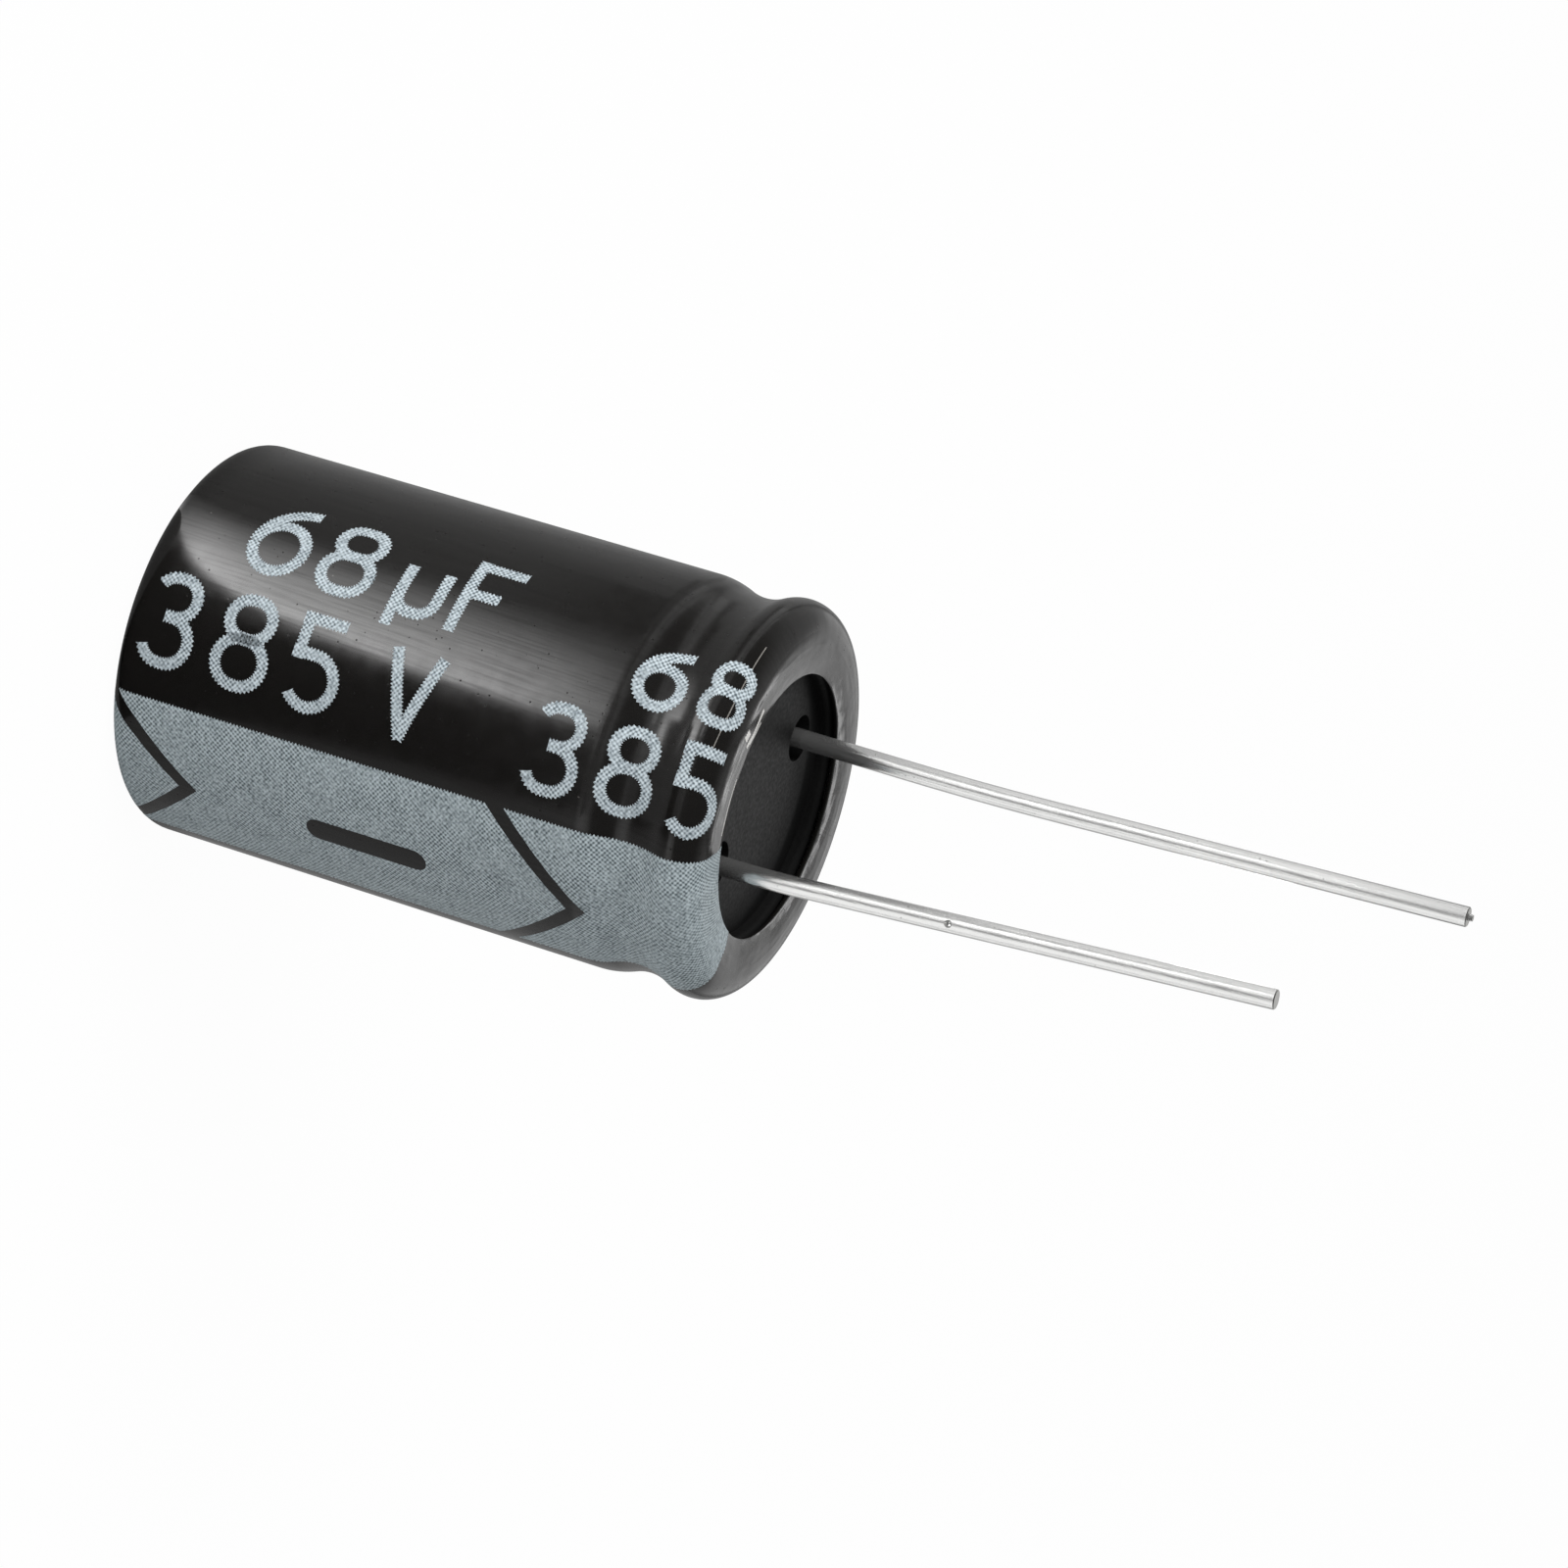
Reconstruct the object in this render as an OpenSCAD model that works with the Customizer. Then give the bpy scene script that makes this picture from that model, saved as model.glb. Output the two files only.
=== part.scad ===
// Radial aluminium electrolytic capacitor, standing on its closed end with both leads up.
// Millimetres. The origin is the middle of the face that it stands on, and +Z runs to the leads.
// The cathode, which is the side of the printed stripe, lies on +X and the anode on -X.

/* [Can] */
// Outside diameter of the bare can
can_d = 16; // [14:0.1:20]
// Length of the bare can, from its floor to the crown of its rim
can_l = 25.7; // [20:0.1:40]
// Thickness of the drawn wall
can_wall = 0.4; // [0.25:0.05:0.5]
// Thickness of the can's floor
can_floor = 0.5; // [0.3:0.05:0.8]
// Outer radius of the corner between floor and wall
can_corner_r = 0.8; // [0.5:0.05:1]

/* [Rolled bead and curled rim] */
// Depth of the bead that is rolled into the wall
bead_depth = 1.05; // [0.7:0.05:1.3]
// Radius of the roller's edge, which is the radius of the bead's hollow
bead_r = 1.06; // [0.8:0.02:1.5]
// Radius of the soft shoulder below the bead
bead_shoulder_r = 1.7; // [1:0.1:2.5]
// Outer radius of the rolled rim
rim_r = 1.05; // [0.85:0.05:1.3]
// How far the rim swells beyond the body
rim_swell = 0.04; // [0:0.01:0.1]
// How far the rim's edge curls on past its crown, in degrees
rim_curl = 65; // [50:1:75]

/* [Safety vent] */
// Length of each arm of the scored cross in the floor
vent_arm = 4.5; // [3:0.1:5]
// Width of the score
vent_w = 0.5; // [0.3:0.05:0.8]
// Depth of the score
vent_deep = 0.25; // [0.1:0.05:0.25]
// Turn of the cross about the axis, in degrees
vent_turn = 45; // [0:5:90]

/* [Sleeve] */
// Thickness of the shrunk film
film_t = 0.18; // [0.08:0.01:0.25]
// Clearance between film and can
film_fit = 0.02; // [0.01:0.01:0.05]
// Share of the bead's depth that the film is drawn into
film_dip = 0.4; // [0.2:0.05:0.5]
// Width of the flat land on the crown, which seats on a circuit board
seat_land = 0.6; // [0.3:0.1:1]
// How far the film folds in over the rim, from its outside
top_fold = 2.8; // [2.5:0.1:3.4]
// Radius in which the free edge of the top fold droops
fold_droop_r = 3.5; // [3:0.1:6]
// How far the film folds in under the floor, from its outside
base_fold = 1.8; // [1.3:0.1:3]

/* [Bung] */
// Height of the rubber bung
bung_h = 5.2; // [4.2:0.1:6]
// Clearance between the rubber and what it seals
seal_fit = 0.02; // [0.01:0.01:0.05]
// Chamfer at the bung's inner edge
bung_chamfer = 0.4; // [0.2:0.1:0.8]
// Width of the ring of rubber that swells up inside the curled rim
swell_w = 0.5; // [0.3:0.05:0.6]
// Play between that ring and the film above it
swell_play = 0.15; // [0.05:0.05:0.3]

/* [Leads] */
// Distance between the two leads
lead_pitch = 7.5; // [5:0.1:8]
// Diameter of the tinned wire
wire_d = 0.8; // [0.5:0.05:1]
// Length of the longer lead beyond the bung, the anode's
anode_lead_l = 28.1; // [22:0.1:40]
// Length of the shorter lead beyond the bung, the cathode's
cathode_lead_l = 23.05; // [20:0.05:40]
// Direction that both leads lean in, in degrees round from +X
lean_dir = 220; // [0:1:360]
// Lean of the anode's lead at its tip, in degrees
anode_lean = 2.3; // [0.5:0.1:4]
// Radius of the bend in the anode's lead
anode_bend_r = 165; // [20:1:180]
// Straight stretch of the anode's lead between the bung and its bend
anode_root = 4.9; // [0.5:0.1:6]
// Lean of the cathode's lead at its tip, in degrees
cathode_lean = 3.8; // [0.5:0.1:5]
// Radius of the bend in the cathode's lead
cathode_bend_r = 46; // [20:1:100]
// Straight stretch of the cathode's lead between the bung and its bend
cathode_root = 0.5; // [0.5:0.1:6]

/* [Terminals] */
// Diameter of the round aluminium boss
boss_d = 1.9; // [1.4:0.1:2.4]
// How deep the boss's top lies under the bung's outer face
boss_sink = 0.8; // [0.2:0.05:1]
// How far the boss stands out of the bung's inner face
boss_foot = 0.3; // [0.1:0.1:0.6]
// Diameter of the weld bead that joins wire and boss
weld_d = 1.2; // [1.1:0.05:1.3]
// Height of the weld bead
weld_h = 0.3; // [0.2:0.05:0.4]
// Width of the flattened paddle
paddle_w = 2.4; // [1.6:0.1:3]
// Thickness of the flattened paddle
paddle_t = 0.3; // [0.2:0.05:0.4]

/* [Winding] */
// Gap between the can's wall and the taped roll
roll_play = 0.25; // [0.1:0.05:0.5]
// Space between the roll and the bung, which the terminals cross
head_space = 1; // [0.7:0.1:2]
// Diameter of the hole that the winding mandrel leaves
core_d = 2.6; // [1.5:0.1:3]
// Distance between the roll's foot and the end of each paddle
paddle_rest = 3; // [1:0.1:5]
// Clearance round each paddle in the roll
paddle_fit = 0.05; // [0.02:0.01:0.1]
// Distance between the paper edges that stand out of the roll's ends
turn_pitch = 0.6; // [0.4:0.1:1]
// How far the paper stands out past the foils
paper_proud = 0.2; // [0.1:0.05:0.4]
// Thickness of the tape round the roll
tape_t = 0.08; // [0.05:0.01:0.15]
// Clearance between tape and roll
tape_fit = 0.02; // [0.01:0.01:0.05]
// How far the tape stays back from each end of the roll
tape_margin = 2; // [0.5:0.1:4]

/* [Hidden] */
$fn = 128;
tiny = 0.01;
bend_neck = wire_d / 40;
bend_lap = wire_d / 16;

film = film_t + film_fit;
can_r = can_d / 2;
floor_z = film;
crown_z = floor_z + can_l;

// Centres of the three circles that the beaded wall is rolled round, as [radius, height]
rim_c = [can_r + rim_swell - rim_r, crown_z - rim_r];
bead_to_rim = tangent_rise(bead_depth + rim_swell, bead_r + rim_r);
bead_c = [can_r - bead_depth + bead_r, rim_c.y - bead_to_rim];
shoulder_to_bead = tangent_rise(bead_depth, bead_shoulder_r + bead_r);
shoulder_c = [can_r - bead_shoulder_r, bead_c.y - shoulder_to_bead];

// The film leaves the wall where the bead starts and bridges the hollow in two larger arcs
film_r = can_r + film;
film_rim_r = rim_r + film;
dip = film_dip * bead_depth;
film_bead_r = tangent_sum(dip + rim_swell, bead_to_rim) - film_rim_r;
film_shoulder_r = tangent_sum(dip, shoulder_to_bead) - film_bead_r;
film_bead_c = [film_r - dip + film_bead_r, bead_c.y];
film_shoulder_c = [film_r - film_shoulder_r, shoulder_c.y];

// The free edge of the film's top fold
fold_r = rim_c.x - seat_land;
mouth_r = film_r + rim_swell - top_fold;
fold_droop = asin((fold_r - mouth_r) / fold_droop_r);

// The bung is pressed down by the rim's curled edge
bung_top = rim_c.y + (rim_r - can_wall) * cos(rim_curl) - seal_fit;
bung_foot = bung_top - bung_h;
swell_r = rim_c.x - rim_r * sin(rim_curl) - seal_fit;
swell_top = rim_c.y + film_rim_r - fold_droop_r * (1 - cos(fold_droop)) - film_t - swell_play;
boss_top = bung_top - boss_sink;
boss_end = bung_foot - boss_foot;

// The roll stands on the can's floor
roll_foot = floor_z + can_floor;
roll_top = bung_foot - head_space;
roll_r = can_r - can_wall - roll_play - tape_t - tape_fit;
paddle_end = roll_foot + paddle_rest;

// Height between the centres of two arcs that touch, for a step sideways and the sum of their radii
function tangent_rise(step, radii) = sqrt(step * (2 * radii - step));

// Sum of the radii of two arcs that touch, for a step sideways and the height between their centres
function tangent_sum(step, rise) = (rise * rise / step + step) / 2;

// Half section of all that lies inside a beaded outline, drawn to the right of the axis.
// Each arc has its own centre, and inset moves the whole outline inwards by that much.
module beaded_section(foot_z, body_r, corner_r, shoulder, shoulder_r, bead, hollow_r, rim, edge_r, inset) {
    foot = foot_z + inset;
    corner = max(corner_r - inset, tiny);
    wall = body_r - inset;
    // Straight body with a rounded corner at its foot
    translate([0, foot])
        square([wall - corner, shoulder.y - foot]);
    translate([0, foot + corner])
        square([wall, shoulder.y - foot - corner]);
    translate([wall - corner, foot + corner])
        circle(r = corner);
    // Neck between the shoulder's and the rim's centres, hollowed by the bead
    difference() {
        polygon([[0, shoulder.y], shoulder, bead, rim, [0, rim.y]]);
        translate(bead)
            circle(r = hollow_r + inset);
    }
    translate(shoulder)
        circle(r = shoulder_r - inset);
    // Rolled rim, closed across the mouth
    translate(rim)
        circle(r = edge_r - inset);
    translate([0, rim.y])
        square([rim.x, edge_r - inset]);
}

module can_section(inset) {
    beaded_section(floor_z, can_r, can_corner_r, shoulder_c, bead_shoulder_r, bead_c, bead_r,
        rim_c, rim_r, inset);
}

module film_section(inset) {
    beaded_section(0, film_r, can_corner_r + film, film_shoulder_c, film_shoulder_r,
        film_bead_c, film_bead_r, rim_c, film_rim_r, inset);
}

// Part of a ring that starts at its highest point and turns inwards, towards the axis
module inward_arc(outer_r, wall, sweep) {
    reach = 2 * outer_r;
    intersection() {
        difference() {
            circle(r = outer_r);
            circle(r = outer_r - wall);
        }
        polygon([[0, 0], [0, reach], [-reach * tan(sweep / 2), reach],
            reach * [-sin(sweep), cos(sweep)]]);
    }
}

// Heat-shrink film over the whole can, folded in over the rim and under the floor
module sleeve() {
    color([0.13, 0.125, 0.12])
    rotate_extrude() {
        difference() {
            film_section(0);
            film_section(film_t);
            square([film_r - base_fold, film_r]);
            translate([0, rim_c.y])
                square([fold_r, film_r]);
        }
        translate([fold_r, rim_c.y + film_rim_r - fold_droop_r])
            inward_arc(fold_droop_r, film_t, fold_droop);
    }
}

// Drawn cup with its bead and curled rim, and a cross scored into its floor as a vent
module can() {
    color([0.8, 0.81, 0.82])
    difference() {
        rotate_extrude() {
            difference() {
                can_section(0);
                intersection() {
                    can_section(can_wall);
                    translate([0, floor_z + can_floor])
                        square([can_d, can_l]);
                }
                translate([0, rim_c.y])
                    square([rim_c.x, can_d]);
            }
            translate(rim_c)
                inward_arc(rim_r, can_wall, rim_curl);
        }
        for (turn = [0, 90])
            rotate([0, 0, turn + vent_turn])
                translate([-vent_arm, -vent_w / 2, floor_z - tiny])
                    cube([2 * vent_arm, vent_w, vent_deep + tiny]);
    }
}

// Rubber bung, squeezed to the inside of the bead and up into the curled rim
module bung() {
    color([0.15, 0.15, 0.15])
    difference() {
        rotate_extrude() {
            difference() {
                intersection() {
                    can_section(can_wall + seal_fit);
                    union() {
                        translate([0, bung_foot])
                            square([can_r, bung_h]);
                        translate(rim_c)
                            circle(r = rim_r - can_wall - seal_fit);
                    }
                }
                translate([can_r - can_wall - seal_fit, bung_foot])
                    rotate(45)
                        square(bung_chamfer * sqrt(2), center = true);
            }
            // Ring that the rim's bite raises, rounded at its top
            translate([swell_r - swell_w, rim_c.y])
                square([swell_w, swell_top - swell_w / 2 - rim_c.y]);
            translate([swell_r - swell_w / 2, swell_top - swell_w / 2])
                circle(d = swell_w);
        }
        for (side = [-1, 1])
            translate([side * lead_pitch / 2, 0, bung_foot - tiny])
                cylinder(h = bung_h + 2 * tiny, d = boss_d + 2 * seal_fit);
    }
}

// Tinned wire from its weld on the boss: a straight root, one bend of radius bend_r, and a straight end.
// The bend necks a hair, as bent wire does, and its ends are lapped into the straight stretches.
module lead(length, root, bend_r, lean) {
    bend_l = bend_r * lean * PI / 180;
    stub = bung_top - boss_top + root;
    color([0.78, 0.78, 0.77])
    translate([0, 0, boss_top])
    rotate([0, 0, lean_dir]) {
        cylinder(h = weld_h, d1 = weld_d, d2 = wire_d);
        cylinder(h = stub + bend_lap, d = wire_d);
        translate([bend_r, 0, stub])
            rotate([90, 0, 0])
                rotate([0, 0, 180 - lean])
                    rotate_extrude(angle = lean)
                        translate([bend_r, 0])
                            circle(d = wire_d - bend_neck);
        translate([bend_r * (1 - cos(lean)), 0, stub + bend_r * sin(lean)])
            rotate([0, lean, 0])
                translate([0, 0, -bend_lap])
                    cylinder(h = length - root - bend_l + bend_lap, d = wire_d);
    }
}

module anode_lead() {
    translate([-lead_pitch / 2, 0, 0])
        lead(anode_lead_l, anode_root, anode_bend_r, anode_lean);
}

module cathode_lead() {
    translate([lead_pitch / 2, 0, 0])
        lead(cathode_lead_l, cathode_root, cathode_bend_r, cathode_lean);
}

// Round boss in the bung, coined down to a flat paddle that lies between the turns of the roll
module tab() {
    color([0.86, 0.87, 0.88]) {
        translate([0, 0, boss_end])
            cylinder(h = boss_top - boss_end, d = boss_d);
        translate([0, 0, boss_end - boss_foot])
            cylinder(h = boss_foot, d1 = paddle_t, d2 = boss_d);
        translate([0, 0, paddle_end])
            rotate([90, 0, 90])
                linear_extrude(paddle_t, center = true) {
                    translate([-paddle_w / 2, paddle_w / 2])
                        square([paddle_w, boss_end - paddle_end - paddle_w / 2]);
                    translate([0, paddle_w / 2])
                        circle(d = paddle_w);
                }
    }
}

module anode_tab() {
    translate([-lead_pitch / 2, 0, 0])
        tab();
}

module cathode_tab() {
    translate([lead_pitch / 2, 0, 0])
        tab();
}

// Roll of foils and paper: a solid with the mandrel's hole, whose paper turns stand out at both ends
module winding() {
    turns = floor((roll_r - core_d / 2) / turn_pitch - 0.5);
    color([0.72, 0.68, 0.6])
    difference() {
        rotate_extrude() {
            translate([core_d / 2, roll_foot + paper_proud])
                square([roll_r - core_d / 2, roll_top - roll_foot - 2 * paper_proud]);
            for (turn = [0 : turns])
                translate([roll_r - turn * turn_pitch - turn_pitch / 2, roll_foot])
                    square([turn_pitch / 2, roll_top - roll_foot]);
        }
        for (side = [-1, 1])
            translate([side * lead_pitch / 2, 0, paddle_end - paddle_fit])
                translate([-paddle_t / 2 - paddle_fit, -paddle_w / 2 - paddle_fit, 0])
                    cube([paddle_t + 2 * paddle_fit, paddle_w + 2 * paddle_fit, roll_top - roll_foot]);
    }
}

// Tape wrapped round the roll
module winding_tape() {
    color([0.85, 0.78, 0.5])
    translate([0, 0, roll_foot + tape_margin])
        difference() {
            cylinder(h = roll_top - roll_foot - 2 * tape_margin, r = roll_r + tape_fit + tape_t);
            translate([0, 0, -tiny])
                cylinder(h = roll_top - roll_foot, r = roll_r + tape_fit);
        }
}

sleeve();
can();
bung();
anode_lead();
cathode_lead();
anode_tab();
cathode_tab();
winding();
winding_tape();
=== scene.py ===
# %% [markdown]
# # A radial electrolytic capacitor
#
# The imported CAD model gives every solid at its real size and place. This notebook dresses it: the
# printed shrink film, the ink on it and the two tinned leads are modelled again with finer surfaces,
# and every other piece keeps its CAD mesh and gets a better finish. Nothing moves on this part, so
# each piece that is drawn here is tied to the one body, root.

# %% Load the frame
import math

import bmesh
import bpy
from mathutils import Matrix, Quaternion, Vector


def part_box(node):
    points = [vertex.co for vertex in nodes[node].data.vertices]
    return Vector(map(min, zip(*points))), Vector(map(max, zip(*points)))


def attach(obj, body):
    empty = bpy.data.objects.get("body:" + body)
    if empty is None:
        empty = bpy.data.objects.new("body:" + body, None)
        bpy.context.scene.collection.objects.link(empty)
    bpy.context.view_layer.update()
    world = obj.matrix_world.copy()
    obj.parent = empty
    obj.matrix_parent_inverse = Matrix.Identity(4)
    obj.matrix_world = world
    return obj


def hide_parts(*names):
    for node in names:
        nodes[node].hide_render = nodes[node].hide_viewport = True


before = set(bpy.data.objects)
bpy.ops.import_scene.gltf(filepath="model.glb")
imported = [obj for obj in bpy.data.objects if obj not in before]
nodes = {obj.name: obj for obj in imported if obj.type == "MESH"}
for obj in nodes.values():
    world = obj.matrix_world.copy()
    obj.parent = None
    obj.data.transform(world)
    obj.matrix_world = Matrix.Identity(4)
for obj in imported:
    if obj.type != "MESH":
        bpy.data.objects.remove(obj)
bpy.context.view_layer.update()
print("CAD nodes:", sorted(nodes))

# %% [markdown]
# A capacitor is small, and Blender's tools work best on shapes of about one unit. So each new piece
# is drawn with one unit to the millimetre, and is scaled to metres when it is finished. These first
# helpers do what a hand does with the mouse: select one object, go in and out of edit mode, and pick
# vertices by their place.

# %% Helpers for work by hand
MM = 0.001


def pick(obj):
    """Select one object alone and make it the active one."""
    bpy.ops.object.select_all(action="DESELECT")
    obj.select_set(True)
    bpy.context.view_layer.objects.active = obj


def edit(obj):
    """Open an object's mesh for editing, with all of it selected."""
    pick(obj)
    bpy.ops.object.mode_set(mode="EDIT")
    bpy.ops.mesh.select_all(action="SELECT")


def done():
    bpy.ops.object.mode_set(mode="OBJECT")


def select_where(obj, test):
    """In edit mode, select the vertices whose place passes a test, and what lies between them."""
    mesh = bmesh.from_edit_mesh(obj.data)
    for vert in mesh.verts:
        vert.select_set(test(vert.co))
    mesh.select_flush_mode()
    bmesh.update_edit_mesh(obj.data)


def apply_modifier(obj, kind, **settings):
    """Add a modifier with these settings and apply it at once."""
    pick(obj)
    modifier = obj.modifiers.new(kind.title(), kind)
    for key, value in settings.items():
        setattr(modifier, key, value)
    bpy.ops.object.modifier_apply(modifier=modifier.name)


def finish_piece(obj, replaces=None, smooth_deg=30):
    """Smooth a drawn piece, bring it from millimetres to metres and tie it to the frame."""
    pick(obj)
    bpy.ops.object.shade_smooth_by_angle(angle=math.radians(smooth_deg))
    obj.scale = (MM, MM, MM)
    bpy.ops.object.transform_apply(location=True, rotation=True, scale=True)
    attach(obj, "root")
    if replaces:
        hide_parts(replaces)
    print(obj.name, "has", len(obj.data.polygons), "faces")


def node_box(name):
    """Corners of a CAD node in millimetres."""
    return [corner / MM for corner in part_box(name)]


# %% [markdown]
# The film is one tube of plastic that was shrunk over the can with heat. It follows the can's corner,
# bridges the rolled bead in a soft hollow, goes over the rim and folds in at both ends. Seen from the
# side its outline is a chain of straight lines and arcs that touch, so the outline is written once as
# such a chain. Both the film and the ink on it are made from that chain, so they can't drift apart.

# %% Driving sizes of the film, in millimetres
sleeve_high = node_box("sleeve")[1]
film_t = 0.18
cut_edge = 0.04
rim_swell = 0.04
film_r = sleeve_high.x - rim_swell
crown_z = sleeve_high.z
corner_r = 1.0
window_r = 6.4
mouth_r = 5.44
land_w = 0.6
droop_r = 3.5
rim_r = 1.25
bead_drop = 3.097
shoulder_drop = 5.2635
bead_dip = 0.42
print(f"film radius {film_r:.3f}, crown at {crown_z:.3f}")


# %% The film's outline as a chain of lines and arcs
def radii_sum(step, rise):
    """Sum of the radii of two arcs that touch, for a step sideways and the height between centres."""
    return (rise * rise / step + step) / 2


rim_c = Vector((film_r + rim_swell - rim_r, crown_z - rim_r))
bead_z = crown_z - bead_drop
shoulder_z = crown_z - shoulder_drop
bead_r = radii_sum(bead_dip + rim_swell, rim_c.y - bead_z) - rim_r
bead_c = Vector((film_r - bead_dip + bead_r, bead_z))
shoulder_r = radii_sum(bead_dip, bead_z - shoulder_z) - bead_r
shoulder_c = Vector((film_r - shoulder_r, shoulder_z))
land_r = rim_c.x - land_w
into_bead = math.degrees(math.atan2(*(bead_c - shoulder_c).yx))
onto_rim = math.degrees(math.atan2(*(rim_c - bead_c).yx))
droop = math.degrees(math.asin((land_r - mouth_r) / droop_r))


def line(x0, z0, x1, z1, steps=1):
    length = math.hypot(x1 - x0, z1 - z0)
    return {"start": Vector((x0, z0)), "way": Vector((x1 - x0, z1 - z0)) / length, "length": length,
            "steps": steps}


def arc(centre, radius, start_deg, sweep_deg, steps):
    return {"centre": Vector(centre), "radius": radius, "from": start_deg, "sweep": sweep_deg,
            "length": radius * math.radians(abs(sweep_deg)), "steps": steps}


outline = [
    line(window_r, 0, film_r - corner_r, 0, 2),
    arc((film_r - corner_r, corner_r), corner_r, -90, 90, 12),
    line(film_r, corner_r, film_r, shoulder_z, 16),
    arc(shoulder_c, shoulder_r, 0, into_bead, 12),
    arc(bead_c, bead_r, 180 + into_bead, onto_rim - 180 - into_bead, 20),
    arc(rim_c, rim_r, onto_rim - 180, 270 - onto_rim, 28),
    line(rim_c.x, crown_z, land_r, crown_z, 6),
    arc((land_r, crown_z - droop_r), droop_r, 90, droop, 8),
]
sheet_foot = corner_r - outline[0]["length"] - outline[1]["length"]
sheet_top = sheet_foot + sum(part["length"] for part in outline)
land_start = sheet_top - outline[-1]["length"] - outline[-2]["length"]
print(f"the film's print runs from {sheet_foot:.2f} to {sheet_top:.2f}")


def film_at(run):
    """Point and outward normal on the outline. On the straight body the run is the height."""
    left = min(max(run, sheet_foot), sheet_top) - sheet_foot
    for part in outline:
        if left <= part["length"] or part is outline[-1]:
            break
        left -= part["length"]
    if "way" in part:
        return part["start"] + part["way"] * left, Vector((part["way"].y, -part["way"].x))
    turn = math.radians(part["from"] + part["sweep"] * left / part["length"])
    out = Vector((math.cos(turn), math.sin(turn)))
    return part["centre"] + out * part["radius"], out * math.copysign(1, part["sweep"])


# %% [markdown]
# A lathe shape starts as one vertex. The vertex is extruded along each straight line and spun round
# the centre of each arc, and the finished outline is spun once round the axis. The film gets its
# thickness inwards from a Solidify modifier, and a very small bevel on its cut edges, which is where
# a real film shows a thin line of light.

# %% Draw the film
around = 256
bpy.ops.object.select_all(action="DESELECT")
bpy.ops.mesh.primitive_plane_add(size=1, location=(window_r, 0, 0))
film = bpy.context.active_object
film.name = "printed_film"
bpy.ops.object.transform_apply(location=True)
edit(film)
bpy.ops.mesh.merge(type="CENTER")
for part in outline:
    if "way" in part:
        step = part["way"] * part["length"] / part["steps"]
        bpy.ops.mesh.extrude_repeat(steps=part["steps"], offset=(step.x, 0, step.y), scale_offset=1)
    else:
        bpy.ops.mesh.spin(steps=part["steps"], angle=math.radians(part["sweep"]), axis=(0, 1, 0),
                          center=(part["centre"].x, 0, part["centre"].y))
bpy.ops.mesh.select_all(action="SELECT")
bpy.ops.mesh.spin(steps=around, angle=2 * math.pi, center=(0, 0, 0), axis=(0, 0, 1))
bpy.ops.mesh.select_all(action="SELECT")
bpy.ops.mesh.remove_doubles(threshold=0.0005)
bpy.ops.mesh.normals_make_consistent(inside=False)
done()


# %% [markdown]
# The material of the film follows the surface, so the film needs a map of its own: across is the way
# round the can and up is the run along the outline, both in millimetres, exactly as the print was
# laid out on the flat film. The run of each ring of vertices is found from its place.

# %% Map the film
def run_of(radius, height):
    """Run along the outline of the point that lies nearest to this radius and height."""
    samples = 600
    place = Vector((radius, height))
    runs = [sheet_foot + (sheet_top - sheet_foot) * i / samples for i in range(samples + 1)]
    return min(runs, key=lambda run: (film_at(run)[0] - place).length_squared)


def map_film(obj):
    known = {}
    layer = obj.data.uv_layers.active or obj.data.uv_layers.new(name="film")
    layer.name = "film"
    for face in obj.data.polygons:
        middle = math.atan2(face.center.y, face.center.x)
        for loop in face.loop_indices:
            place = obj.data.vertices[obj.data.loops[loop].vertex_index].co
            key = (round(place.xy.length, 3), round(place.z, 3))
            if key not in known:
                known[key] = run_of(*key)
            turn = math.atan2(place.y, place.x)
            turn += 2 * math.pi * round((middle - turn) / (2 * math.pi))
            layer.data[loop].uv = (turn * film_r, known[key])


map_film(film)
apply_modifier(film, "SOLIDIFY", thickness=film_t, offset=-1, use_even_offset=True)
apply_modifier(film, "BEVEL", width=cut_edge, segments=2, limit_method="ANGLE",
               angle_limit=math.radians(60))
finish_piece(film, replaces="sleeve", smooth_deg=40)

# %% [markdown]
# The ink was screen-printed on the flat film. A flat sheet is drawn first, with X along the can and Y
# round it, and zero on the line of the cathode's lead. Each stroke of a figure is an edge as wide as
# the pen that is extruded along lines and spun round arcs. The screen's mesh leaves fine teeth on an
# ink edge, so every other rung of the ribbon is pulled in a little.

# %% The pen
pen_w = 0.56
screen_pitch = 0.147
tooth = 0.095


def saw_edges(obj, depth):
    """Walk along a ribbon from one end and narrow every other rung."""
    mesh = bmesh.from_edit_mesh(obj.data)
    rung = next(e for e in mesh.edges if all(len(v.link_edges) == 2 for v in e.verts))
    passed = set()
    narrow = False
    while rung:
        if narrow:
            middle = (rung.verts[0].co + rung.verts[1].co) / 2
            for vert in rung.verts:
                vert.co -= (vert.co - middle).normalized() * depth
        narrow = not narrow
        face = next((f for f in rung.link_faces if f not in passed), None)
        passed.add(face)
        rung = face and next(e for e in face.edges if not set(e.verts) & set(rung.verts))
    bmesh.update_edit_mesh(obj.data)


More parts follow.
